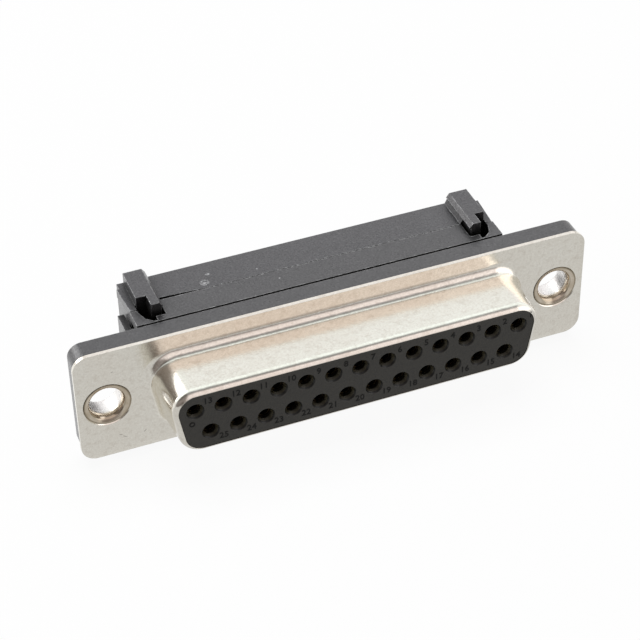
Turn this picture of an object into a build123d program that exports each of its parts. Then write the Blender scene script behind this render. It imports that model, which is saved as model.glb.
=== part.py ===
"""Ribbon-cable D-sub socket with 25 contacts, in millimetres.

X runs along the connector, the mating face looks along -Y, and +Z is the side of the long contact row.
The origin is at the centre of the flange's front face, midway between the two mounting holes.
"""

from build123d import *
import os
from math import atan, degrees, radians, tan

# Contact field
contact_count = 25
contact_pitch = 2.77  # along one row
row_spacing = 2.84  # between the two rows
wire_spacing = 1.27  # between neighbouring conductors of the ribbon
half_pitch = contact_pitch / 2
row_offset = row_spacing / 2
middle = (contact_count - 1) / 2
field_length = (contact_count - 1) * half_pitch

# Steel shell
sheet = 0.4
mount_margin = 13.8  # the two mounting holes are this much further apart than the end contacts
flange_end = 3.0  # from a mounting hole's centre to the end of the flange
flange_height = 12.55
flange_corner = 1.6
shroud_depth = 5.85  # from the flange's front face to the rim
shroud_slant = 10.0  # degrees, of the two short sides of the D
rim_width = 0.5  # of the turned-in rim, around the visible face of the insulator
flare_width = 0.9  # the shroud is this much wider at the flange than at the rim
flare_height = 0.52
flare_radius = 0.35
root_fillet = 1.0
rim_fillet = 0.9
mount_spacing = field_length + mount_margin
flange_length = mount_spacing + 2 * flange_end

# Mounting holes and their eyelets
mount_bore_radius = 1.6
eyelet_wall = 0.35
sink_width = 0.5  # the shell's countersink reaches this far past the eyelet's barrel
eyelet_lip = 0.03  # thickness of the flared edge
eyelet_flare_depth = 0.55
eyelet_tail_width = 0.6
eyelet_tail = 0.25
eyelet_clearance = 0.03

# Front insulator
nose_clearance = 0.05  # to the inside of the shroud
face_margin = 2.76  # the visible face is this much longer than the contact field, at mid-height
face_rise = 3.54  # and this much higher than the row spacing
face_corner = 1.75
face_recess = 0.14  # of the face behind the rim's foremost line before it is rounded
plastic_end_inset = 0.2  # the moulded flange ends this far inside the steel one
plastic_edge_inset = 0.08  # and this far inside it along its top and bottom
plastic_flange = 2.2  # thickness
mouth_radius = 0.9
mouth_depth = 0.45
entry_radius = 0.62
entry_depth = 0.8
cavity_radius = 0.85
shank_slot = 0.5  # height of the slot that holds one row of shanks
shank_slot_depth = 2.5

# Contacts
stock = 0.4  # metal thickness
barrel_radius = 0.8
barrel_bore_radius = 0.5
barrel_front_gap = 0.1
barrel_length = 4.7
barrel_bore_depth = 3.9
slit_width = 0.2
slit_depth = 2.6
shank_width = 0.8
shoulder_width = 1.3
shoulder_length = 0.4
fork_width = 0.95
fork_slot = 0.28
fork_slot_depth = 1.5
fork_lead = 0.35  # depth of the V that guides a wire into the slot
fork_tip_width = 0.6
fork_reach = 1.6  # how far the tines stand out of the rear insulator
fork_clearance = 0.05

# Rear insulator
rear_shift = -0.3  # the rear insulator and cover sit this far off centre, within their play
base_gap = 4.52  # from a mounting hole's centre to the end of the rear insulator
base_thickness = 3.15
base_end_drop = 0.75  # its ends stop short of the cover by this much
seam = 0.06  # running gap between the closed cover and the rear insulator
rebate = 0.12  # shadow gap around the joint with the front insulator
rebate_width = 0.4
peg_radius = 0.7
peg_length = 1.2
peg_inset = 1.05  # from the end of the rear insulator
peg_clearance = 0.03
edge_break = 0.12

# End channels of the rear insulator, as distances inwards from its end and forwards from its rear
end_wall = 0.72
channel_bend = 1.1
channel_floor_corner = 1.8
channel_step = 2.15
channel_width = 3.15
channel_depth = 2.25
channel_deep_depth = 2.85
channel_curve_depth = 1.15
channel_reach = 3.3  # how far the channels come in from the top and bottom

# End arms of the rear insulator, with the barb that keeps the cover on
arm_inset = 1.95  # the arms are this much lower than the body at the top and at the bottom
arm_thickness = 0.65
arm_reach = 1.6  # how far the arms stand out behind the rear insulator
barb_height = 4.0
barb_reach = 0.38
barb_length = 0.6
undercut_depth = 0.4  # of the notch between an arm and the wall above it, into the rear insulator's end

# Cover
cover_thickness = 4.0
cover_travel = 2.6
arm_gap = 0.1  # cover end to end arm
cheek_reach = 0.15  # how far the cheeks stand out past the ends of the rear insulator, at their rear
cheek_draft = 0.25  # and how much less at their front
cheek_height = 0.95
cheek_drop = 0.95  # from the cover's rear to the rear of the cheeks
leg_inset = 1.65  # the legs are this much lower than the arms at the top and at the bottom
leg_width = 0.55
leg_reach = 2.55  # how far the legs stand into the rear insulator
leg_gap = 0.12
window_floor = 0.4  # how deep the barb's window is cut into the leg
wire_radius = 0.45
wire_end = 0.8  # the wire grooves stop this far inside the cover's edge
pocket_clearance = 0.1
warp_gap = 0.3  # the left end of the cover stands off by this much
warp_length = 4.8

# End posts of the cover, as distances inwards from the end of the rear insulator
post_rise = 1.15  # how far the posts stand proud, at the top and at the bottom
post_outer = 0.8
tongue_outer = 1.85
post_edge = 2.7  # inner edge of the post's top
post_stem = 2.88
post_ridge = 3.03
post_foot = 3.2
post_ridge_drop = 0.46
post_stem_drop = 0.55
post_front_reach = 0.3  # how far the posts stand into the rear insulator
post_rear_drop = 0.15  # from the cover's rear
tongue_reach = 1.85  # how far their tongues stand into it
tongue_gap = 0.15  # from a tongue to the bottom of its channel

# Sizes that the ones above give
face_size = (field_length + face_margin, row_spacing + face_rise, face_corner)
shroud_tip = tuple(size + step for size, step in zip(face_size, (2 * rim_width, 2 * rim_width, rim_width)))
shroud_flare = (flare_width, flare_height, flare_radius)
shroud_root = tuple(size + step for size, step in zip(shroud_tip, shroud_flare))
plastic_flange_length = flange_length - 2 * plastic_end_inset
plastic_flange_corner = flange_corner - plastic_end_inset
body_height = flange_height - 2 * plastic_edge_inset
eyelet_outer = mount_bore_radius + eyelet_wall
eyelet_hole = eyelet_outer + eyelet_clearance
eyelet_tail_radius = eyelet_outer + eyelet_tail_width
sink_radius = eyelet_outer + sink_width
base_half_length = mount_spacing / 2 - base_gap
arm_height = body_height - 2 * arm_inset
leg_height = arm_height - 2 * leg_inset
post_height = body_height + 2 * post_rise
cover_end = base_half_length - arm_gap
channel_outer = base_half_length - end_wall
leg_inner = cover_end - leg_width
peg_x = base_half_length - peg_inset
post_foot_x = base_half_length - post_foot

# Levels along Y that the sizes above give
face_front = -shroud_depth + face_recess
plastic_rear = sheet + plastic_flange
base_rear = plastic_rear + base_thickness
cover_front = base_rear + seam
cover_rear = cover_front + cover_thickness
base_end_rear = base_rear - base_end_drop
barrel_front = face_front + entry_depth + barrel_front_gap
barrel_rear = barrel_front + barrel_length
fork_tip = base_rear + fork_reach
arm_rear = base_rear + arm_reach
cheek_rear = cover_rear - cheek_drop
leg_front = base_rear - leg_reach
post_front = base_rear - post_front_reach
post_rear = cover_rear - post_rear_drop
tongue_front = base_rear - tongue_reach
slant = tan(radians(shroud_slant))

def facing(y):
    """Plane across the connector at Y, looking out of the mating face."""
    return Plane.XZ.offset(-y)


def shrunk(size, gap):
    """A D outline's width, height and corner radius, moved inwards by a gap."""
    width, height, radius = size
    return (width - 2 * gap, height - 2 * gap, radius - gap)


def between(front, rear, y):
    """The outline at Y between two outlines given at the rim and at the flange."""
    share = -y / shroud_depth
    return tuple(r + (f - r) * share for f, r in zip(front, rear))


def d_outline(size, y):
    """A D-shaped face at Y, wide side up."""
    width, height, radius = size
    lean = height / 2 * slant
    corners = [
        (width / 2 + lean, height / 2),
        (-width / 2 - lean, height / 2),
        (-width / 2 + lean, -height / 2),
        (width / 2 - lean, -height / 2),
    ]
    with BuildSketch(facing(y)) as outline:
        Polygon(*corners, align=None)
        fillet(outline.vertices(), radius)
    return outline.sketch


def contact_x(index):
    """X of the contact hole at an index counted from the left across both rows."""
    return (index - middle) * half_pitch


def fork_x(index):
    """X of a contact's fork, from the middle of the rear insulator."""
    return (index - middle) * wire_spacing


def row_z(index):
    """Even indexes are in the long upper row and odd ones in the lower row."""
    return row_offset if index % 2 == 0 else -row_offset


def contact_number(index):
    """Contacts count from the right, the upper row first."""
    upper = (contact_count + 1) // 2
    if index % 2 == 0:
        return upper - index // 2
    return contact_count - index // 2


def end_points(side, *points):
    """Points given as a distance inwards from one end of the rear insulator, and Y."""
    return [(side * (base_half_length - inwards), y) for inwards, y in points]


def top_and_bottom(points):
    """A closed outline's points on the top side, followed by their mirror images on the bottom side."""
    return points + [(x, -z) for x, z in reversed(points)]


indexes = range(contact_count)
hole_places = [(contact_x(i), row_z(i)) for i in indexes]
fork_places = [(fork_x(i), row_z(i)) for i in indexes]
mount_places = [(-mount_spacing / 2, 0), (mount_spacing / 2, 0)]
sides = (-1, 1)

os.makedirs("parts", exist_ok=True)


# Steel shell: a flat flange with a drawn, drafted D shroud whose rim turns in to the insulator
with BuildPart() as shell:
    with BuildSketch(facing(sheet)):
        RectangleRounded(flange_length, flange_height, flange_corner)
    extrude(amount=sheet)
    loft([d_outline(shroud_root, 0), d_outline(shroud_tip, -shroud_depth)])
    front_edges = shell.faces().sort_by(Axis.Y)[0].edges()
    fillet(front_edges, rim_fillet)
    root_edges = shell.faces().filter_by(Plane.XZ).sort_by(Axis.Y)[-2].inner_wires()[0].edges()
    fillet(root_edges, root_fillet)
    cup_floor = sheet - shroud_depth
    inner_root = shrunk(shroud_root, sheet)
    inner_tip = shrunk(between(shroud_tip, shroud_root, cup_floor), sheet)
    loft([d_outline(inner_root, sheet), d_outline(inner_tip, cup_floor)], mode=Mode.SUBTRACT)
    rear_face = shell.faces().filter_by(Plane.XZ).sort_by(Axis.Y)[-1]
    fillet(rear_face.inner_wires()[0].edges(), root_fillet + sheet)
    opening = shrunk(face_size, -nose_clearance)
    extrude(d_outline(opening, cup_floor), amount=2 * sheet, mode=Mode.SUBTRACT)
    sink_slope = (sink_radius - eyelet_hole) / sheet
    with Locations(facing(0)):
        with Locations(*mount_places):
            CounterSinkHole(
                radius=eyelet_hole,
                counter_sink_radius=sink_radius,
                counter_sink_angle=2 * degrees(atan(sink_slope)),
            )
shell.part.label = "shell"
export_step(shell.part, "parts/shell.step")


# Front insulator: nose and flange in one moulding, bored for the contacts
with BuildPart() as front_insulator:
    with BuildSketch(facing(plastic_rear)):
        RectangleRounded(plastic_flange_length, body_height, plastic_flange_corner)
    extrude(amount=plastic_flange)
    chamfer(front_insulator.faces().sort_by(Axis.Y)[-1].edges(), edge_break)
    nose_front = cup_floor + nose_clearance
    nose_root = shrunk(between(shroud_tip, shroud_root, 0), sheet + nose_clearance)
    nose_tip = shrunk(between(shroud_tip, shroud_root, nose_front), sheet + nose_clearance)
    loft([d_outline(nose_root, sheet), d_outline(nose_tip, nose_front)])
    extrude(d_outline(face_size, nose_front), amount=nose_front - face_front)
    mouth_slope = (mouth_radius - entry_radius) / mouth_depth
    with Locations(facing(face_front)):
        with Locations(*hole_places):
            CounterSinkHole(
                radius=entry_radius,
                counter_sink_radius=mouth_radius,
                depth=entry_depth + barrel_front_gap,
                counter_sink_angle=2 * degrees(atan(mouth_slope)),
            )
    with BuildSketch(facing(plastic_rear)):
        with Locations(*hole_places):
            Circle(cavity_radius)
    extrude(amount=plastic_rear - face_front - entry_depth, mode=Mode.SUBTRACT)
    with BuildSketch(facing(plastic_rear)):
        with Locations((0, row_offset), (0, -row_offset)):
            Rectangle(field_length + 2 * cavity_radius, shank_slot)
    extrude(amount=shank_slot_depth, mode=Mode.SUBTRACT)
    with BuildSketch(facing(plastic_rear)):
        with Locations(*mount_places):
            Circle(eyelet_hole)
    extrude(amount=plastic_flange, mode=Mode.SUBTRACT)
    with BuildSketch(facing(plastic_rear)):
        with Locations((rear_shift - peg_x, 0), (rear_shift + peg_x, 0)):
            Circle(peg_radius + peg_clearance)
    extrude(amount=peg_length + peg_clearance, mode=Mode.SUBTRACT)
front_insulator.part.label = "front_insulator"
export_step(front_insulator.part, "parts/front_insulator.step")


# Rear insulator: holds the forks, guides the cover in its end channels and keeps it on with two end arms
with BuildPart() as rear_insulator:
    with BuildSketch(facing(base_end_rear)):
        Rectangle(2 * base_half_length, body_height)
    extrude(amount=base_end_rear - plastic_rear)
    with BuildSketch(facing(base_rear)):
        Rectangle(2 * channel_outer, body_height)
    extrude(amount=base_thickness)
    # Shadow gap around the front joint
    with BuildSketch(facing(plastic_rear + rebate)):
        Rectangle(2 * base_half_length, body_height)
        Rectangle(
            2 * (base_half_length - rebate_width), body_height - 2 * rebate_width, mode=Mode.SUBTRACT
        )
    extrude(amount=rebate, mode=Mode.SUBTRACT)
    for side in sides:
        # End arm and its barb
        with BuildSketch(facing(arm_rear)):
            with Locations((side * (base_half_length + arm_thickness / 2), 0)):
                Rectangle(arm_thickness, arm_height)
        extrude(amount=arm_rear - plastic_rear)
        barb_outline = end_points(
            side,
            (0, arm_rear - barb_length),
            (barb_reach, arm_rear - barb_length),
            (barb_reach, arm_rear - barb_length / 2),
            (0, arm_rear),
        )
        with BuildSketch(Plane.XY):
            Polygon(*barb_outline, align=None)
        extrude(amount=barb_height / 2, both=True)
        # Notches above and below the arm leave a low wall along the top and the bottom
        notch_height = arm_inset - cheek_height
        notch_z = (arm_height + notch_height) / 2
        with BuildSketch(facing(base_end_rear)):
            with Locations(*[(side * (base_half_length - undercut_depth / 2), z) for z in (notch_z, -notch_z)]):
                Rectangle(undercut_depth, notch_height)
        extrude(amount=base_end_rear - plastic_rear, mode=Mode.SUBTRACT)
        # Channels for the cover's tongues, open at the top and at the bottom
        channel_outline = end_points(
            side,
            (channel_width, cover_front),
            (channel_width, base_rear - channel_depth),
            (channel_step, base_rear - channel_depth),
            (channel_step, base_rear - channel_deep_depth),
            (channel_floor_corner, base_rear - channel_deep_depth),
            (channel_bend, base_rear - channel_depth),
            (end_wall, base_rear - channel_curve_depth),
            (end_wall, cover_front),
        )
        for level in (body_height / 2, channel_reach - body_height / 2):
            with BuildSketch(Plane.XY.offset(level)):
                Polygon(*channel_outline, align=None)
            extrude(amount=-channel_reach, mode=Mode.SUBTRACT)
        # Pocket for the cover's leg
        with BuildSketch(facing(cover_front)):
            with Locations((side * (base_half_length + leg_inner - leg_gap) / 2, 0)):
                Rectangle(base_half_length - leg_inner + leg_gap, leg_height + 2 * leg_gap)
        extrude(amount=cover_front - leg_front + leg_gap, mode=Mode.SUBTRACT)
    with BuildSketch(facing(base_rear)):
        with Locations(*fork_places):
            Rectangle(fork_width + 2 * fork_clearance, stock + 2 * fork_clearance)
    extrude(amount=base_thickness, mode=Mode.SUBTRACT)
    with BuildSketch(facing(plastic_rear)):
        with Locations((-peg_x, 0), (peg_x, 0)):
            Circle(peg_radius)
    extrude(amount=peg_length)
rear_insulator.part.position = (rear_shift, 0, 0)
rear_insulator.part.label = "rear_insulator"
export_step(rear_insulator.part, "parts/rear_insulator.step")


# Cover: clamps the ribbon onto the forks and is guided by its two end posts
with BuildPart() as cable_cover:
    with BuildSketch(facing(cover_rear)):
        Rectangle(2 * cover_end, body_height)
    extrude(amount=cover_thickness)
    chamfer(cable_cover.faces().sort_by(Axis.Y)[-1].edges(), edge_break)
    end_front = base_end_rear + arm_gap
    window_front = arm_rear - barb_length - cover_travel - arm_gap
    window_rear = arm_rear + arm_gap
    for side in sides:
        # The end steps down behind the end wall of the rear insulator
        with BuildSketch(facing(cover_front)):
            with Locations((side * (channel_outer + cover_end) / 2, 0)):
                Rectangle(cover_end - channel_outer, body_height)
        extrude(amount=cover_front - end_front)
        # Drafted cheeks above and below the end arm
        cheek = end_points(
            side,
            (end_wall, end_front),
            (cheek_draft - cheek_reach, end_front),
            (-cheek_reach, cheek_rear),
            (end_wall, cheek_rear),
        )
        for level in (body_height / 2, cheek_height - body_height / 2):
            with BuildSketch(Plane.XY.offset(level)):
                Polygon(*cheek, align=None)
            extrude(amount=-cheek_height)
        # Leg that runs in the pocket of the rear insulator, with a window for the barb as long as the travel
        with BuildSketch(facing(cover_front)):
            with Locations((side * (leg_inner + cover_end) / 2, 0)):
                Rectangle(leg_width, leg_height)
        extrude(amount=cover_front - leg_front)
        with BuildSketch(facing(window_rear)):
            with Locations((side * (cover_end - window_floor / 2), 0)):
                Rectangle(window_floor, barb_height + 2 * arm_gap)
        extrude(amount=window_rear - window_front, mode=Mode.SUBTRACT)
        # End post, with a bevelled inner side that undercuts to a stem
        post_top = post_height / 2
        bevel = end_points(
            side,
            (post_edge, post_top),
            (post_ridge, post_top - post_ridge_drop),
            (post_stem, post_top - post_stem_drop),
        )
        foot = end_points(side, (post_foot, body_height / 2))
        outer = end_points(side, (post_outer, post_top))
        with BuildSketch(facing(post_rear)):
            Polygon(*top_and_bottom(outer + bevel + foot), align=None)
        extrude(amount=post_rear - cover_front)
        # The post's front and its narrower tongue, which stand into the channels
        channel_floor = body_height / 2 - channel_reach + tongue_gap
        for width_from, front in ((post_outer, post_front), (tongue_outer, tongue_front)):
            top_half = end_points(side, (width_from, post_top))
            top_half += bevel
            top_half += end_points(side, (post_stem, channel_floor), (width_from, channel_floor))
            for flip in sides:
                with BuildSketch(facing(cover_front)):
                    Polygon(*[(x, flip * z) for x, z in top_half], align=None)
                extrude(amount=cover_front - front)
    # Fork pockets and wire grooves
    with BuildSketch(facing(fork_tip + pocket_clearance)):
        with Locations(*fork_places):
            Rectangle(fork_width + 2 * pocket_clearance, stock + 2 * pocket_clearance)
    extrude(amount=fork_tip + pocket_clearance - cover_front, mode=Mode.SUBTRACT)
    with BuildSketch(Plane.XY):
        with Locations(*[(fork_x(i), cover_front) for i in indexes]):
            Circle(wire_radius)
    extrude(amount=body_height / 2 - wire_end, both=True, mode=Mode.SUBTRACT)
    # The moulding is slightly bowed: its left end stands off the rear insulator
    with BuildSketch(Plane.XY):
        Polygon(
            (-post_foot_x, base_rear),
            (-post_foot_x, cover_front + warp_gap),
            (warp_length - post_foot_x, cover_front),
            (warp_length - post_foot_x, base_rear),
            align=None,
        )
    extrude(amount=body_height / 2, both=True, mode=Mode.SUBTRACT)
cable_cover.part.position = (rear_shift, 0, 0)
cable_cover.part.label = "cable_cover"
export_step(cable_cover.part, "parts/cable_cover.step")


# Contacts: slit socket barrel, offset shank and two-tine fork
for index in indexes:
    place_x, place_z = contact_x(index), row_z(index)
    tine_x = fork_x(index) + rear_shift
    with BuildPart() as contact:
        with BuildSketch(facing(barrel_rear)):
            with Locations((place_x, place_z)):
                Circle(barrel_radius)
        extrude(amount=barrel_length)
        with BuildSketch(facing(barrel_front + barrel_bore_depth)):
            with Locations((place_x, place_z)):
                Circle(barrel_bore_radius)
        extrude(amount=barrel_bore_depth, mode=Mode.SUBTRACT)
        with BuildSketch(facing(barrel_front + slit_depth)):
            with Locations((place_x, place_z)):
                Rectangle(slit_width, 2 * barrel_radius)
        extrude(amount=slit_depth, mode=Mode.SUBTRACT)
        shoulder_front = plastic_rear - shoulder_length
        lead_front = fork_tip - fork_lead
        right_side = [
            (tine_x + fork_slot / 2, fork_tip - fork_slot_depth),
            (tine_x + fork_slot / 2, lead_front),
            (tine_x + fork_tip_width / 2, fork_tip),
            (tine_x + fork_width / 2, lead_front),
            (tine_x + fork_width / 2, plastic_rear),
            (tine_x + shoulder_width / 2, plastic_rear),
            (tine_x + shoulder_width / 2, shoulder_front),
            (tine_x + shank_width / 2, shoulder_front - stock),
            (place_x + shank_width / 2, barrel_rear + stock),
            (place_x + shank_width / 2, barrel_rear - stock),
        ]
        left_side = [
            (place_x - shank_width / 2, barrel_rear - stock),
            (place_x - shank_width / 2, barrel_rear + stock),
            (tine_x - shank_width / 2, shoulder_front - stock),
            (tine_x - shoulder_width / 2, shoulder_front),
            (tine_x - shoulder_width / 2, plastic_rear),
            (tine_x - fork_width / 2, plastic_rear),
            (tine_x - fork_width / 2, lead_front),
            (tine_x - fork_tip_width / 2, fork_tip),
            (tine_x - fork_slot / 2, lead_front),
            (tine_x - fork_slot / 2, fork_tip - fork_slot_depth),
        ]
        with BuildSketch(Plane.XY.offset(place_z)):
            Polygon(*left_side, *right_side, align=None)
        extrude(amount=stock / 2, both=True)
    label = f"contact_{contact_number(index):02d}"
    contact.part.label = label
    export_step(contact.part, f"parts/{label}.step")


# Eyelets: a flared head in the shell's countersink, a plain barrel and a turned-over tail
for label, place_x in (
    ("mounting_eyelet_left", -mount_spacing / 2),
    ("mounting_eyelet_right", mount_spacing / 2),
):
    edge_y = eyelet_clearance + eyelet_lip
    cone_front = sink_radius - 2 * eyelet_clearance  # its radius at the flange's front face
    edge_x = place_x + cone_front - sink_slope * edge_y
    cone_end = (cone_front - eyelet_outer) / sink_slope
    tail_rear = plastic_rear + eyelet_tail
    tail_x = place_x + eyelet_tail_radius
    bore_x = place_x + mount_bore_radius
    with BuildPart() as eyelet:
        with BuildSketch(Plane.XY):
            with BuildLine():
                bore_line = Line((bore_x, plastic_rear), (bore_x, eyelet_flare_depth))
                TangentArc(bore_line @ 1, (edge_x - eyelet_lip, eyelet_clearance), tangent=bore_line % 1)
                Polyline(
                    (edge_x - eyelet_lip, eyelet_clearance),
                    (edge_x, edge_y),
                    (place_x + eyelet_outer, cone_end),
                    (place_x + eyelet_outer, plastic_rear),
                    (tail_x, plastic_rear),
                    (tail_x, plastic_rear + eyelet_tail / 2),
                    (bore_x + eyelet_tail, tail_rear),
                )
                TangentArc((bore_x, plastic_rear), (bore_x + eyelet_tail, tail_rear), tangent=(0, 1))
            make_face()
        revolve(axis=Axis((place_x, 0, 0), (0, 1, 0)))
    eyelet.part.label = label
    export_step(eyelet.part, f"parts/{label}.step")
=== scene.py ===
"""Looks of the ribbon-cable D-sub socket: materials, contact numbers, studio and camera.

Everything is in metres, in the frame of the CAD parts: X along the connector, -Y out of the mating
face, +Z towards the longer contact row, and the origin at the centre of the flange's front face.
"""

import math

import bmesh
import bpy
from mathutils import Matrix, Vector


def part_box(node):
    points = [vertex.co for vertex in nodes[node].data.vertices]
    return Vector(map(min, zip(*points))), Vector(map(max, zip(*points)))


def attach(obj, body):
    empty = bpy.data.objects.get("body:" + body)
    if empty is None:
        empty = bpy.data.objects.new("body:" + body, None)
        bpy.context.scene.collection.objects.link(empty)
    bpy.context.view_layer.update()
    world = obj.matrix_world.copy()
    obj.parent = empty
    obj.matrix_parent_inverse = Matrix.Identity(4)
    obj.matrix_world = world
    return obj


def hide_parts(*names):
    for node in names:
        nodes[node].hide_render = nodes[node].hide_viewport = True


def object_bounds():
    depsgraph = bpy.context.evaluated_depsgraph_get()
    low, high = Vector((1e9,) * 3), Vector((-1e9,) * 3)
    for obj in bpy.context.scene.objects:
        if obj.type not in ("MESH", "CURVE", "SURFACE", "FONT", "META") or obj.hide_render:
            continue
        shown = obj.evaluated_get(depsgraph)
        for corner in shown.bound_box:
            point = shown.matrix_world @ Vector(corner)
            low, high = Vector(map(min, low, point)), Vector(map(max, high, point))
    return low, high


MM = 0.001

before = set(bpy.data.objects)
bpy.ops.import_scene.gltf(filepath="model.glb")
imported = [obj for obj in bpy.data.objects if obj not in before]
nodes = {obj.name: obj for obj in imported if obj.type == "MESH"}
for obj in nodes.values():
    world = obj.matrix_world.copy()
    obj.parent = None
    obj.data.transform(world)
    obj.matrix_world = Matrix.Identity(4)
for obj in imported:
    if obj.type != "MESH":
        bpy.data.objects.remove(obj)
cad_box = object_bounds()


# Contact field, as in the CAD parts
CONTACT_COUNT = 25
CONTACT_PITCH = 2.77 * MM
ROW_OFFSET = 1.42 * MM
FACE_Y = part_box("front_insulator")[0][1]

# Contact numbers moulded beside the holes
NUMBER_HEIGHT = 0.68 * MM
NUMBER_CAP_SHARE = 0.7  # height of a digit as a share of the letter size
NUMBER_RELIEF = 0.02 * MM
NUMBER_BOLD = 0.015 * MM
NUMBER_RIGHT = 1.27 * MM
NUMBER_AWAY = 0.92 * MM
NUMBER_CURVE_STEPS = 2
NUMBER_GLOSS = 0.15

# Eyelets, as (radius, y) in mm about their own axis: the lip and its dish, the throat, the bore and the tail
EYELET_SEGMENTS = 96
EYELET_LIP = [(2.300, 0.100), (2.325, 0.060), (2.310, 0.036), (2.270, 0.030)]
EYELET_DISH = [(2.150, 0.085), (2.000, 0.155), (1.900, 0.200)]
EYELET_THROAT = [(1.835, 0.245), (1.765, 0.320), (1.700, 0.420), (1.650, 0.540), (1.615, 0.680)]
EYELET_BORE = [(1.600, 0.850), (1.600, 1.600), (1.600, 2.450)]
EYELET_TAIL = [(1.625, 2.600), (1.700, 2.740), (1.800, 2.825), (1.900, 2.850)]
EYELET_BACK = [(2.350, 2.800), (2.520, 2.735), (2.550, 2.680), (2.550, 2.600), (1.950, 2.600), (1.950, 0.375)]
CREASE = math.radians(40)  # edges sharper than this stay sharp on turned pieces

# Colours, linear
STEEL_WARM = (0.89, 0.855, 0.77)
STEEL_PALE = (0.92, 0.895, 0.815)
STEEL_STAIN = (0.60, 0.53, 0.45)
STEEL_SCRATCH = (0.33, 0.30, 0.27)
EYELET_BROWN = (0.54, 0.46, 0.35)
EYELET_PALE = (0.72, 0.64, 0.53)
# Painted reflection: the eyelets' bores are painted near white
EYELET_PAINTED_REFLECTION = (0.95, 0.93, 0.91)
# Painted shade: dark lines at the eyelets' lips and throats
EYELET_PAINTED_SHADE = (0.32, 0.27, 0.195)
INSULATOR_BLACK = (0.018, 0.0175, 0.019)
FACE_BLACK = (0.020, 0.0172, 0.0120)
COUNTERSINK = (0.040, 0.034, 0.018)
# Black painted as shade into notches, under ledges and deep in the contact holes, and into the numbers
PAINTED_SHADE_BLACK = (0.010, 0.010, 0.009)
COVER_BLACK = (0.018, 0.0175, 0.020)
# Painted shade: the raised numbers and the round mark are painted blacker than the face
NUMBER_PAINTED_SHADE = (0.005, 0.005, 0.0045)
DUST = (0.12, 0.117, 0.115)
# Pale colour of the painted highlights along plastic edges, and of the real pale scuffs on the tops
PALE_EDGE_HIGHLIGHT_AND_SCUFF = (0.52, 0.52, 0.53)
# Gold painted far darker than gold, as painted shade inside the holes
GOLD_DULL_IN_SHADE = (0.06, 0.042, 0.022)
GOLD_CLEAN_IN_SHADE = (0.14, 0.095, 0.045)

# Depths into the mating face: its own skin, the edge of a countersink that gets a painted ring of shade, the
# countersink, the cavity behind it that is painted black as shade, and the length of the nose that has lost
# its gloss
FACE_SKIN = (0.02 * MM, 0.05 * MM)
HOLE_EDGE = (0.17 * MM, 0.22 * MM)
HOLE_SINK = (0.40 * MM, 0.60 * MM)
HOLE_CAVITY = (1.40 * MM, 1.60 * MM)
NOSE_DULL = (3.00 * MM, 3.40 * MM)

# Skin of the plastic: the weight, refraction and roughness of its gloss, and the roughness under it
PLASTIC_COAT = 0.74
COAT_IOR = 2.0
COAT_ROUGHNESS = 0.20
INSULATOR_ROUGHNESS = 0.40
COVER_ROUGHNESS = 0.38
SMOOTH_GRAIN = 0.14  # the smoothest grain is less rough by this much
# Notches of about this size and less are also painted with shade
NOTCH_SIZE = 2.2 * MM  # notches of about this size and less lose their gloss

# Radius of soft edges in the looks, and of the edges that get a painted highlight
STEEL_EDGE = 0.05 * MM
PLASTIC_EDGE = 0.06 * MM
HIGHLIGHT_EDGE = 0.16 * MM
EDGE_SAMPLES = 6  # rays that look for edges and notches

# Bumps, as (height, strength): the waves and the grain of the steel, and the grain of eyelets and plastic
STEEL_WAVES = (0.020 * MM, 0.5)
STEEL_ROUGH_GRAIN = (0.006 * MM, 0.6)
EYELET_ROUGH_GRAIN = (0.005 * MM, 0.5)
PLASTIC_ROUGH_GRAIN = (0.030 * MM, 0.8)

# Noise, as (features per metre, detail, roughness): the grain of each material, blotches, clouds and dust
STEEL_GRAIN = (4200.0, 3.0, 0.75)
STEEL_BLOTCHES = (1500.0, 4.0, 0.65)
STEEL_CLOUDS = (140.0, 2.0, 0.55)
EYELET_GRAIN = (4000.0, 3.0, 0.55)
EYELET_CLOUDS = (900.0, 2.0, 0.55)
PLASTIC_GRAIN = (5200.0, 3.0, 0.75)
PLASTIC_DUST = (2400.0, 3.0, 0.6)
PLASTIC_CLOUDS = (260.0, 3.0, 0.55)
NUMBER_GRAIN = (7000.0, 3.0, 0.55)
NUMBER_BLOTCHES = (3000.0, 3.0, 0.55)
GOLD_CLOUDS = (1500.0, 2.0, 0.55)

# A spread is (value from, value to), and then (result from, result to) where the result isn't 0 to 1.
# Between these values a noise has most of its area, and nearly all of it.
MOST = (0.35, 0.65)
NEARLY_ALL = (0.3, 0.7)

# Spreads for the steel: stains by grain and by blotches, roughness by clouds, and what the grain adds to it
STEEL_FINE_STAINS = (0.38, 0.68, 0.0, 0.30)
STEEL_WIDE_STAINS = (0.50, 0.78, 0.0, 0.50)
STEEL_ROUGHNESS = (*NEARLY_ALL, 0.13, 0.18)
STEEL_GRAIN_ROUGHER = (*NEARLY_ALL, 0.0, 0.05)

# Spreads for the eyelets, by depth along Y: the painted shade line at the lip, the painted shade line in the
# throat as it comes in and goes, and the bore painted bright as a painted reflection; then the roughness by
# clouds, and what the bore adds to it
EYELET_LIP_SHADE = (0.050 * MM, 0.070 * MM, 0.85, 0.0)
EYELET_THROAT_SHADE_IN = (0.200 * MM, 0.260 * MM, 0.0, 0.8)
EYELET_THROAT_SHADE_OUT = (0.260 * MM, 0.340 * MM, 1.0, 0.0)
EYELET_BORE_IN = (0.70 * MM, 1.00 * MM)
EYELET_ROUGHNESS = (*NEARLY_ALL, 0.12, 0.22)
EYELET_BORE_ROUGHER = 0.24

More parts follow.
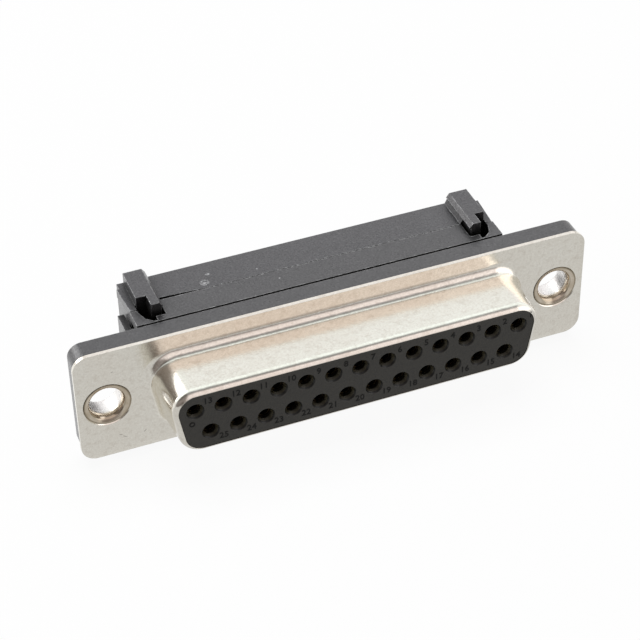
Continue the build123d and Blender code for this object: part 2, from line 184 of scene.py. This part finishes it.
# Spreads for the plastic: dust in the grain, dust that lies loose, patches in which edges get a painted
# highlight, how the grain breaks up specks, how open a notch is from painted shade to clear and from dull
# to glossy, gloss by grain and by dust, and the face's tones by grain
PLASTIC_FINE_DUST = (0.55, 0.80, 0.0, 0.35)
PLASTIC_LOOSE_DUST = (0.70, 0.80, 0.0, 0.6)
PLASTIC_HIGHLIGHT_PATCHES = (0.42, 0.66, 0.10, 0.9)
PLASTIC_SPECK_GRAIN = (0.47, 0.54)
PLASTIC_NOTCH_SHADE = (0.40, 0.80)
PLASTIC_NOTCH_GLOSS = (0.55, 0.95)
PLASTIC_GRAIN_GLOSS = (0.33, 0.67, 0.40, 1.0)
PLASTIC_DUST_GLOSS = (*NEARLY_ALL, 0.85 * PLASTIC_COAT, PLASTIC_COAT)
PLASTIC_PALER = 1.25  # times its colour, in the paler clouds
FACE_GRAIN = (0.3, 0.75)
FACE_DARKER = 0.85
FACE_PALER = 1.6

# Spreads for painted edge highlights, by how well a rounded normal agrees with the surface's own, and for
# the roughness of the numbers and of the gold
EDGE_AGREEMENT = (0.98, 0.90)
NUMBER_ROUGHNESS = (*NEARLY_ALL, 0.30, 0.42)
GOLD_ROUGHNESS = (*NEARLY_ALL, 0.32, 0.46)

# Scratches on the front of the left flange, as their two ends (x, z), in mm
SCRATCH_HALF_WIDTH = 0.05
MARK_DEPTH = 0.3  # scratches and specks are painted this far to both sides of their surface
SCRATCH_SHARE = 0.7
SCRATCH_FADE = (0.6, 1.1)  # shares of its half size between which a scratch fades out
STEEL_SCRATCHES = [
    ((-22.75, -4.05), (-22.35, -4.15)),
    ((-22.40, -4.30), (-21.90, -4.60)),
    ((-20.30, -4.55), (-19.95, -4.20)),
    ((-22.90, 3.75), (-22.65, 3.85)),
]

# Pale specks on the top of the plastic, as (x, y, radius), in mm
TOP_Z = 6.2
SPECK_SHARE = 0.7
SPECK_FADE = (0.5, 1.1)  # shares of its radius between which a speck fades out
PALE_SPECKS = [
    (-11.25, 6.65, 0.50), (-10.55, 7.85, 0.26), (-5.81, 6.75, 0.12), (-4.25, 4.5, 0.13), (7.35, 9.5, 0.10),
]

# Round mark left by the moulding on the face: its place (x, z), and its profile as (radius, y from the
# face), in mm
GATE_PLACE = (-17.02 * MM, -0.04 * MM)
GATE_PROFILE = [(0.15, 0.01), (0.17, -0.03), (0.29, -0.03), (0.31, 0.01)]
GATE_SEGMENTS = 32

# Light
SKY_LIGHT = 0.25
LEFT_LIGHT = (-0.45, 0.02, 0.12)
LEFT_SIZE = 0.30
LEFT_WATTS = 1.0
TOP_LIGHT = (0.0, 0.12, 0.50)
TOP_SIZE = 0.35
TOP_WATTS = 2.4

# Table: how much of it the camera sees as plain white, and the Y range over which its reflection goes
# from dim in front of the object to white behind it
TABLE_HALF_SIZE = 2.0
TABLE_PAINT = (0.8, 0.8, 0.8, 1.0)
TABLE_ROUGHNESS = 0.9
TABLE_SEEN = 0.93
TABLE_DIM = 0.64
TABLE_DIM_FROM = -2 * MM
TABLE_WHITE_FROM = 6 * MM

# Studio in reflections: degrees up from the front horizon, over the top and down behind, level and tint
STUDIO_RING = [
    (-60, 0.60, "warm"), (-12, 0.34, "warm"), (-4, 0.28, "warm"), (8, 0.30, "warm"), (17, 0.62, "warm"),
    (26, 0.92, "warm"), (41, 0.98, "warm"), (43, 0.86, "warm"), (46, 0.90, "warm"), (50, 1.12, "warm"),
    (55, 1.00, "warm"), (60, 0.74, "warm"), (66, 0.52, "warm"), (70, 0.30, "plain"), (83, 0.30, "plain"),
    (93, 0.75, "cool"), (103, 1.18, "cool"), (119, 1.18, "cool"), (124, 1.05, "cool"), (131, 1.00, "cool"),
    (136, 0.90, "plain"), (142, 0.98, "plain"), (146, 1.15, "plain"), (156, 1.15, "plain"),
    (164, 0.50, "warm"), (180, 0.40, "warm"),
]
STUDIO_TINTS = {"warm": (1.0, 0.905, 0.90), "cool": (0.96, 1.02, 1.025), "plain": (1.0, 0.98, 1.0)}

# Beside the ring: a dark screen in front on the left, and soft boxes behind on the left and in front on
# the right. Each comes in over a range of X, of Y and of Z of the direction, and is full past all three.
SCREEN_LEFT = ((-0.28, -0.42), (0.10, -0.10), (-2.0, -1.0))
SCREEN_SHARE = 0.82
SCREEN_BROWN = (0.10, 0.085, 0.075)
BOX_BEHIND = ((-0.17, -0.32), (0.28, 0.44), (0.12, 0.26))
BOX_RIGHT = ((0.40, 0.50), (0.10, -0.10), (-2.0, -1.0))
BOX_BEHIND_LEVEL = 1.8
BOX_RIGHT_LEVEL = 0.85

# Camera that took the photograph: its place, its axes in the picture and its lens in mm
CAMERA_PLACE = Vector((-55.29, -141.33, 124.72)) * MM
CAMERA_RIGHT = Vector((0.93037, -0.36622, -0.01719))
CAMERA_UP = Vector((0.24163, 0.57724, 0.78000))
CAMERA_LENS = 113.09
CAMERA_NEAREST = 0.01
SENSOR_WIDTH = 36.0


class Graph:
    """A material's node tree, built one node at a time."""

    def __init__(self, name):
        self.material = bpy.data.materials.new(name)
        self.material.use_nodes = True
        self.tree = self.material.node_tree
        self.shader = self.tree.nodes["Principled BSDF"]
        self.output = self.tree.nodes["Material Output"]
        self.place = self.add("ShaderNodeTexCoord").outputs["Object"]

    @classmethod
    def of_world(cls, world):
        """The same helpers on a world's node tree."""
        g = cls.__new__(cls)
        world.use_nodes = True
        g.tree = world.node_tree
        g.output = g.tree.nodes["World Output"]
        return g

    def add(self, kind, **settings):
        """New node of a kind, with its settings."""
        node = self.tree.nodes.new(kind)
        for name, value in settings.items():
            setattr(node, name, value)
        return node

    def link(self, source, target):
        """Joins an output socket to an input socket."""
        self.tree.links.new(source, target)

    def set(self, **values):
        """Sets the shader's own sockets, with underscores for spaces in their names."""
        for name, value in values.items():
            self.shader.inputs[name.replace("_", " ")].default_value = value

    def noise(self, pattern):
        """Noise value, from its features per metre, detail and roughness."""
        node = self.add("ShaderNodeTexNoise")
        for name, value in zip(("Scale", "Detail", "Roughness"), pattern):
            node.inputs[name].default_value = value
        self.link(self.place, node.inputs["Vector"])
        return node.outputs["Fac"]

    def spread(self, value, low, high, to_low=0.0, to_high=1.0):
        """Maps a value from low..high to to_low..to_high, held at the ends."""
        node = self.add("ShaderNodeMapRange")
        self.link(value, node.inputs["Value"])
        for name, number in zip(("From Min", "From Max", "To Min", "To Max"), (low, high, to_low, to_high)):
            node.inputs[name].default_value = number
        return node.outputs["Result"]

    def math(self, operation, first, second):
        """Result of an operation on two values, each a number or a socket."""
        node = self.add("ShaderNodeMath", operation=operation)
        for socket, value in zip(node.inputs, (first, second)):
            if isinstance(value, float):
                socket.default_value = value
            else:
                self.link(value, socket)
        return node.outputs["Value"]

    def blend(self, share, first, second):
        """Mixes two colours, each a tuple or a socket."""
        node = self.add("ShaderNodeMix", data_type="RGBA")
        self.link(share, node.inputs["Factor"])
        for name, value in (("A", first), ("B", second)):
            socket = [s for s in node.inputs if s.name == name and s.type == "RGBA"][0]
            if isinstance(value, tuple):
                socket.default_value = (*value, 1.0)
            else:
                self.link(value, socket)
        return [s for s in node.outputs if s.type == "RGBA"][0]

    def bump(self, share, height, strength, under=None):
        """Normal of a relief, from a share of its height, on top of another normal if given."""
        node = self.add("ShaderNodeBump")
        node.inputs["Strength"].default_value = strength
        node.inputs["Distance"].default_value = height
        self.link(share, node.inputs["Height"])
        if under:
            self.link(under, node.inputs["Normal"])
        return node.outputs["Normal"]

    def soft_edges(self, radius):
        """Normal that rounds sharp edges by a radius."""
        node = self.add("ShaderNodeBevel", samples=EDGE_SAMPLES)
        node.inputs["Radius"].default_value = radius
        return node.outputs["Normal"]

    def edge_wear(self, radius):
        """Share that rises where a rounded normal leaves the surface's own, that is along its edges."""
        compare = self.add("ShaderNodeVectorMath", operation="DOT_PRODUCT")
        self.link(self.soft_edges(radius), compare.inputs[0])
        self.link(self.add("ShaderNodeNewGeometry").outputs["Normal"], compare.inputs[1])
        return self.spread(compare.outputs["Value"], *EDGE_AGREEMENT)

    def openness(self, distance):
        """Share of open space around a point: low in notches and under ledges."""
        node = self.add("ShaderNodeAmbientOcclusion", samples=EDGE_SAMPLES)
        node.inputs["Distance"].default_value = distance
        return node.outputs["AO"]

    def along(self, axis):
        """One object coordinate."""
        node = self.add("ShaderNodeSeparateXYZ")
        self.link(self.place, node.inputs["Vector"])
        return node.outputs[axis]

    def reach(self, place, size, tilt=0.0):
        """Distance from a place, as a share of a size along each axis, both in mm and tilted about Y."""
        mapping = self.add("ShaderNodeMapping", vector_type="TEXTURE")
        mapping.inputs["Location"].default_value = tuple(MM * value for value in place)
        mapping.inputs["Rotation"].default_value = (0.0, tilt, 0.0)
        mapping.inputs["Scale"].default_value = tuple(MM * value for value in size)
        self.link(self.place, mapping.inputs["Vector"])
        measure = self.add("ShaderNodeVectorMath", operation="LENGTH")
        self.link(mapping.outputs["Vector"], measure.inputs[0])
        return measure.outputs["Value"]

    def within(self, direction, ranges, level):
        """A level where each part of a direction is past its range, that comes in over those ranges."""
        share = None
        for axis, (low, high) in zip("XYZ", ranges):
            side = self.spread(direction[axis], low, high, 0.0, 1.0 if share else level)
            share = self.math("MULTIPLY", share, side) if share else side
        return share

    def highest(self, values):
        """The highest of several values."""
        total = values[0]
        for value in values[1:]:
            total = self.math("MAXIMUM", total, value)
        return total

    def specks(self, places, level):
        """Share that is high on round specks on a level surface."""
        spots = [self.reach((x, y, level), (radius, radius, MARK_DEPTH)) for x, y, radius in places]
        return self.highest([self.spread(spot, *SPECK_FADE, SPECK_SHARE, 0.0) for spot in spots])

    def scratches(self, ends, half_width):
        """Share that is high on short straight scratches in the flange's plane."""
        marks = []
        for (x0, z0), (x1, z1) in ends:
            middle = ((x0 + x1) / 2, 0.0, (z0 + z1) / 2)
            size = (math.hypot(x1 - x0, z1 - z0) / 2, MARK_DEPTH, half_width)
            line = self.reach(middle, size, -math.atan2(z1 - z0, x1 - x0))
            marks.append(self.spread(line, *SCRATCH_FADE, SCRATCH_SHARE, 0.0))
        return self.highest(marks)


def tinted(colour, level):
    """A colour made darker or paler by a factor."""
    return tuple(level * part for part in colour)


def plated_steel():
    """Drawn steel with a bright tin plate: fine grain, soft mottling, dull stains and a few scratches."""
    g = Graph("plated_steel")
    cloud = g.noise(STEEL_CLOUDS)
    mottle = g.noise(STEEL_BLOTCHES)
    grain = g.noise(STEEL_GRAIN)
    fine_stains = g.spread(grain, *STEEL_FINE_STAINS)
    wide_stains = g.spread(mottle, *STEEL_WIDE_STAINS)
    base = g.blend(g.spread(cloud, *MOST), STEEL_WARM, STEEL_PALE)
    base = g.blend(fine_stains, base, STEEL_STAIN)
    base = g.blend(wide_stains, base, STEEL_STAIN)
    base = g.blend(g.scratches(STEEL_SCRATCHES, SCRATCH_HALF_WIDTH), base, STEEL_SCRATCH)
    g.link(base, g.shader.inputs["Base Color"])
    g.set(Metallic=1.0)
    rough = g.math("ADD", g.spread(cloud, *STEEL_ROUGHNESS), g.spread(grain, *STEEL_GRAIN_ROUGHER))
    g.link(rough, g.shader.inputs["Roughness"])
    waves = g.bump(mottle, *STEEL_WAVES, g.soft_edges(STEEL_EDGE))
    g.link(g.bump(grain, *STEEL_ROUGH_GRAIN, waves), g.shader.inputs["Normal"])
    return g.material


def eyelet_metal():
    """Brownish plated metal of the eyelets, drawn smooth and a little wavy, with painted shade lines at the
    lip and in the throat and a painted reflection in the bore.
    """
    g = Graph("eyelet_metal")
    cloud = g.noise(EYELET_CLOUDS)
    depth = g.along("Y")
    bore = g.spread(depth, *EYELET_BORE_IN)
    lip_shade = g.spread(depth, *EYELET_LIP_SHADE)
    shade_in = g.spread(depth, *EYELET_THROAT_SHADE_IN)
    shade_out = g.spread(depth, *EYELET_THROAT_SHADE_OUT)
    lip = g.blend(g.spread(cloud, *MOST), EYELET_BROWN, EYELET_PALE)
    # Painted shade lines at the lip and in the throat
    lip = g.blend(lip_shade, lip, EYELET_PAINTED_SHADE)
    lip = g.blend(g.math("MULTIPLY", shade_in, shade_out), lip, EYELET_PAINTED_SHADE)
    # Painted reflection: the bore is painted near white
    g.link(g.blend(bore, lip, EYELET_PAINTED_REFLECTION), g.shader.inputs["Base Color"])
    g.set(Metallic=1.0)
    bore_rougher = g.math("MULTIPLY", bore, EYELET_BORE_ROUGHER)
    rough = g.math("ADD", g.spread(cloud, *EYELET_ROUGHNESS), bore_rougher)
    g.link(rough, g.shader.inputs["Roughness"])
    g.link(g.bump(g.noise(EYELET_GRAIN), *EYELET_ROUGH_GRAIN), g.shader.inputs["Normal"])
    return g.material


def moulded_plastic(name, colour, rough, face_colour=None):
    """Glass-filled black plastic: satin skin, fine grain, pale dust and scuffs, softened edges with painted
    highlights, and painted shade in its notches.

    A face colour gives the mating face a duller skin, down to its holes' countersinks, with painted shade at
    the countersinks' edges and in the cavities behind them.
    """
    g = Graph(name)
    grain = g.noise(PLASTIC_GRAIN)
    cloud = g.noise(PLASTIC_CLOUDS)
    dust = g.noise(PLASTIC_DUST)
    open_share = g.openness(NOTCH_SIZE)
    fine_dust = g.spread(grain, *PLASTIC_FINE_DUST)
    loose_dust = g.spread(dust, *PLASTIC_LOOSE_DUST)
    # Painted highlight: edges are painted pale in patches, standing in for the light their rounding catches
    highlighted_edges = g.math("MULTIPLY", g.edge_wear(HIGHLIGHT_EDGE), g.spread(dust, *PLASTIC_HIGHLIGHT_PATCHES))
    scuffed = g.math("MULTIPLY", g.specks(PALE_SPECKS, TOP_Z), g.spread(grain, *PLASTIC_SPECK_GRAIN))
    base = g.blend(g.spread(cloud, *MOST), colour, tinted(colour, PLASTIC_PALER))
    base = g.blend(fine_dust, base, DUST)
    base = g.blend(loose_dust, base, DUST)
    base = g.blend(highlighted_edges, base, PALE_EDGE_HIGHLIGHT_AND_SCUFF)
    base = g.blend(scuffed, base, PALE_EDGE_HIGHLIGHT_AND_SCUFF)
    # Painted shade: notches and the space under ledges are painted black by how closed they are
    base = g.blend(g.spread(open_share, *PLASTIC_NOTCH_SHADE), PAINTED_SHADE_BLACK, base)
    gloss = g.spread(dust, *PLASTIC_DUST_GLOSS)
    gloss = g.math("MULTIPLY", gloss, g.spread(grain, *PLASTIC_GRAIN_GLOSS))
    gloss = g.math("MULTIPLY", gloss, g.spread(open_share, *PLASTIC_NOTCH_GLOSS))
    if face_colour:
        dark = tinted(face_colour, FACE_DARKER)
        face = g.blend(g.spread(grain, *FACE_GRAIN), dark, tinted(face_colour, FACE_PALER))
        # Painted shade in the holes: a black ring at the edge of each countersink and black in each cavity
        # behind it
        layers = [
            (HOLE_CAVITY, PAINTED_SHADE_BLACK),
            (HOLE_SINK, COUNTERSINK),
            (HOLE_EDGE, PAINTED_SHADE_BLACK),
            (FACE_SKIN, face),
        ]
        for (near, far), tone in layers:
            base = g.blend(g.spread(g.along("Y"), FACE_Y + far, FACE_Y + near), base, tone)
        near, far = NOSE_DULL
        gloss = g.math("MULTIPLY", gloss, g.spread(g.along("Y"), FACE_Y + near, FACE_Y + far))
    g.link(gloss, g.shader.inputs["Coat Weight"])
    g.link(base, g.shader.inputs["Base Color"])
    g.set(Coat_IOR=COAT_IOR, Coat_Roughness=COAT_ROUGHNESS)
    g.link(g.spread(grain, *NEARLY_ALL, rough - SMOOTH_GRAIN, rough), g.shader.inputs["Roughness"])
    skin = g.bump(grain, *PLASTIC_ROUGH_GRAIN, g.soft_edges(PLASTIC_EDGE))
    g.link(skin, g.shader.inputs["Normal"])
    g.link(skin, g.shader.inputs["Coat Normal"])
    return g.material


def number_plastic():
    """Skin of the raised contact numbers and the round mark, painted blacker than the face around them as
    painted shade along their relief.
    """
    g = Graph("number_plastic")
    # Painted shade: the numbers and the mark are painted near black, for the shade along their relief
    g.link(g.blend(g.noise(NUMBER_BLOTCHES), NUMBER_PAINTED_SHADE, PAINTED_SHADE_BLACK), g.shader.inputs["Base Color"])
    g.set(Specular_IOR_Level=NUMBER_GLOSS)
    g.link(g.spread(g.noise(NUMBER_GRAIN), *NUMBER_ROUGHNESS), g.shader.inputs["Roughness"])
    return g.material


def gold_plate():
    """Gold over copper alloy, dull where it was stamped, and painted dark as painted shade inside the contact
    holes.
    """
    g = Graph("gold_plate")
    cloud = g.noise(GOLD_CLOUDS)
    g.link(g.blend(cloud, GOLD_DULL_IN_SHADE, GOLD_CLEAN_IN_SHADE), g.shader.inputs["Base Color"])
    g.set(Metallic=1.0)
    g.link(g.spread(cloud, *GOLD_ROUGHNESS), g.shader.inputs["Roughness"])
    return g.material


def dress(names, material):
    """Gives CAD pieces a material in place of their own."""
    for name in names:
        nodes[name].data.materials.clear()
        nodes[name].data.materials.append(material)


dress(["shell"], plated_steel())
insulator_plastic = moulded_plastic("insulator_plastic", INSULATOR_BLACK, INSULATOR_ROUGHNESS, FACE_BLACK)
dress(["front_insulator", "rear_insulator"], insulator_plastic)
dress(["cable_cover"], moulded_plastic("cover_plastic", COVER_BLACK, COVER_ROUGHNESS))
dress([n for n in nodes if n.startswith("contact_")], gold_plate())


def turned(name, place, profile, segments, material):
    """Closed ring turned about an axis along Y, from (radius, y) in mm; smooth but for its creases."""
    form = bmesh.new()
    rings = []
    for radius, y in profile:
        turns = [2 * math.pi * step / segments for step in range(segments)]
        around = [Vector((radius * math.cos(t), y, radius * math.sin(t))) * MM + place for t in turns]
        rings.append([form.verts.new(point) for point in around])
    for near, far in zip(rings, rings[1:] + rings[:1]):
        for step in range(segments):
            after = (step + 1) % segments
            form.faces.new((near[step], near[after], far[after], far[step])).smooth = True
    bmesh.ops.recalc_face_normals(form, faces=form.faces)
    mesh = bpy.data.meshes.new(name)
    form.to_mesh(mesh)
    form.free()
    mesh.set_sharp_from_angle(angle=CREASE)
    mesh.materials.append(material)
    piece = bpy.data.objects.new(name, mesh)
    bpy.context.collection.objects.link(piece)
    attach(piece, "connector")
    return piece


def eyelet(node, metal):
    """Smooth turned ring in place of an eyelet's solid."""
    low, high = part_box(node)
    profile = EYELET_LIP + EYELET_DISH + EYELET_THROAT + EYELET_BORE + EYELET_TAIL + EYELET_BACK
    ring = turned(node + "_turned", Vector(((low[0] + high[0]) / 2, 0, 0)), profile, EYELET_SEGMENTS, metal)
    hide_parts(node)


ring_metal = eyelet_metal()
for eyelet_node in ("mounting_eyelet_left", "mounting_eyelet_right"):
    eyelet(eyelet_node, ring_metal)

number_skin = number_plastic()
gate_middle = Vector((GATE_PLACE[0], FACE_Y, GATE_PLACE[1]))
gate_mark = turned("gate_mark", gate_middle, GATE_PROFILE, GATE_SEGMENTS, number_skin)


def contact_number(number):
    """The number of one contact, moulded in low relief beside its hole."""
    upper = (CONTACT_COUNT + 1) // 2
    in_upper = number <= upper
    steps = (upper + 1) / 2 - number if in_upper else (upper + CONTACT_COUNT + 1) / 2 - number
    row = ROW_OFFSET + NUMBER_AWAY if in_upper else -ROW_OFFSET - NUMBER_AWAY
    text = bpy.data.curves.new(f"number_{number:02d}", "FONT")
    text.body = str(number)
    text.align_x = "CENTER"
    text.align_y = "CENTER"
    text.size = NUMBER_HEIGHT / NUMBER_CAP_SHARE
    text.extrude = NUMBER_RELIEF
    text.offset = NUMBER_BOLD
    text.resolution_u = NUMBER_CURVE_STEPS
    piece = bpy.data.objects.new(text.name, text)
    bpy.context.collection.objects.link(piece)
    middle = Vector((steps * CONTACT_PITCH + NUMBER_RIGHT, FACE_Y, row))
    piece.matrix_world = Matrix.Translation(middle) @ Matrix.Rotation(math.pi / 2, 4, "X")
    piece.data.materials.append(number_skin)
    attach(piece, "connector")


for number in range(1, CONTACT_COUNT + 1):
    contact_number(number)


def floor():
    """White table that the camera sees nearly pure white, so that only a faint shadow shows."""
    level = cad_box[0][2]
    reach = TABLE_HALF_SIZE
    mesh = bpy.data.meshes.new("floor")
    corners = [(-reach, -reach, level), (reach, -reach, level), (reach, reach, level), (-reach, reach, level)]
    mesh.from_pydata(corners, [], [(0, 1, 2, 3)])
    table = bpy.data.objects.new("floor", mesh)
    bpy.context.collection.objects.link(table)
    g = Graph("white_table")
    g.set(Base_Color=TABLE_PAINT, Roughness=TABLE_ROUGHNESS)
    path = g.add("ShaderNodeLightPath")
    mirrored = g.math("MAXIMUM", path.outputs["Is Glossy Ray"], path.outputs["Is Transmission Ray"])
    seen = g.math("MULTIPLY", path.outputs["Is Camera Ray"], TABLE_SEEN)
    fade = g.spread(g.along("Y"), TABLE_DIM_FROM, TABLE_WHITE_FROM, TABLE_DIM, 1.0)
    white = g.add("ShaderNodeEmission")
    g.link(g.math("MAXIMUM", fade, path.outputs["Is Camera Ray"]), white.inputs["Strength"])
    mixer = g.add("ShaderNodeMixShader")
    g.link(g.math("MAXIMUM", seen, mirrored), mixer.inputs["Fac"])
    g.link(g.shader.outputs["BSDF"], mixer.inputs[1])
    g.link(white.outputs["Emission"], mixer.inputs[2])
    g.link(mixer.outputs["Shader"], g.output.inputs["Surface"])
    table.data.materials.append(g.material)


def soft_light(name, place, size, watts):
    """Square area light that looks at the object, placed in metres."""
    lamp = bpy.data.lights.new(name, "AREA")
    lamp.shape = "SQUARE"
    lamp.size = size
    lamp.energy = watts
    light = bpy.data.objects.new(name, lamp)
    bpy.context.collection.objects.link(light)
    light.location = place
    light.rotation_euler = (-Vector(place)).to_track_quat("-Z", "Y").to_euler()
    light.visible_glossy = False
    light.visible_camera = False


def sky():
    """White surroundings: even as a background, dim as a lamp, and a ring of soft panels in reflections."""
    world = bpy.data.worlds.new("studio")
    bpy.context.scene.world = world
    g = Graph.of_world(world)
    lamp = g.add("ShaderNodeBackground")
    lamp.inputs["Color"].default_value = (1.0, 1.0, 1.0, 1.0)
    lamp.inputs["Strength"].default_value = SKY_LIGHT
    split = g.add("ShaderNodeSeparateXYZ")
    g.link(g.add("ShaderNodeTexCoord").outputs["Generated"], split.inputs["Vector"])
    forward = g.math("MULTIPLY", split.outputs["Y"], -1.0)
    angle = g.math("ARCTAN2", split.outputs["Z"], forward)
    turn = g.spread(angle, -math.pi, math.pi)
    panels = g.add("ShaderNodeValToRGB")
    ramp = panels.color_ramp
    for degrees, level, tint in STUDIO_RING:
        stop = ramp.elements.new((degrees + 180) / 360)
        stop.color = (*tinted(STUDIO_TINTS[tint], level), 1.0)
    ramp.elements.remove(ramp.elements[0])
    g.link(turn, panels.inputs["Fac"])
    screen = g.within(split.outputs, SCREEN_LEFT, SCREEN_SHARE)
    ring = g.blend(screen, panels.outputs["Color"], SCREEN_BROWN)
    behind = g.within(split.outputs, BOX_BEHIND, BOX_BEHIND_LEVEL)
    boxes = g.math("ADD", behind, g.within(split.outputs, BOX_RIGHT, BOX_RIGHT_LEVEL))
    brighter = g.add("ShaderNodeVectorMath", operation="ADD")
    g.link(ring, brighter.inputs[0])
    g.link(boxes, brighter.inputs[1])
    path = g.add("ShaderNodeLightPath")
    glow = g.blend(path.outputs["Is Camera Ray"], brighter.outputs["Vector"], (1.0, 1.0, 1.0))
    seen = g.add("ShaderNodeBackground")
    g.link(glow, seen.inputs["Color"])
    direct = g.math("MAXIMUM", path.outputs["Is Camera Ray"], path.outputs["Is Glossy Ray"])
    mixer = g.add("ShaderNodeMixShader")
    g.link(g.math("MAXIMUM", direct, path.outputs["Is Transmission Ray"]), mixer.inputs["Fac"])
    g.link(lamp.outputs["Background"], mixer.inputs[1])
    g.link(seen.outputs["Background"], mixer.inputs[2])
    g.link(mixer.outputs["Shader"], g.output.inputs["Surface"])


def camera():
    """The camera that took the photograph."""
    lens = bpy.data.cameras.new("camera")
    lens.lens = CAMERA_LENS
    lens.sensor_width = SENSOR_WIDTH
    lens.clip_start = CAMERA_NEAREST
    eye = bpy.data.objects.new("camera", lens)
    bpy.context.collection.objects.link(eye)
    back = CAMERA_RIGHT.cross(CAMERA_UP)
    turn = Matrix((CAMERA_RIGHT, CAMERA_UP, back)).transposed().to_4x4()
    eye.matrix_world = Matrix.Translation(CAMERA_PLACE) @ turn
    bpy.context.scene.camera = eye


floor()
sky()
soft_light("left", LEFT_LIGHT, LEFT_SIZE, LEFT_WATTS)
soft_light("overhead", TOP_LIGHT, TOP_SIZE, TOP_WATTS)
camera()
bpy.context.scene.view_settings.view_transform = "Standard"


bpy.context.view_layer.update()
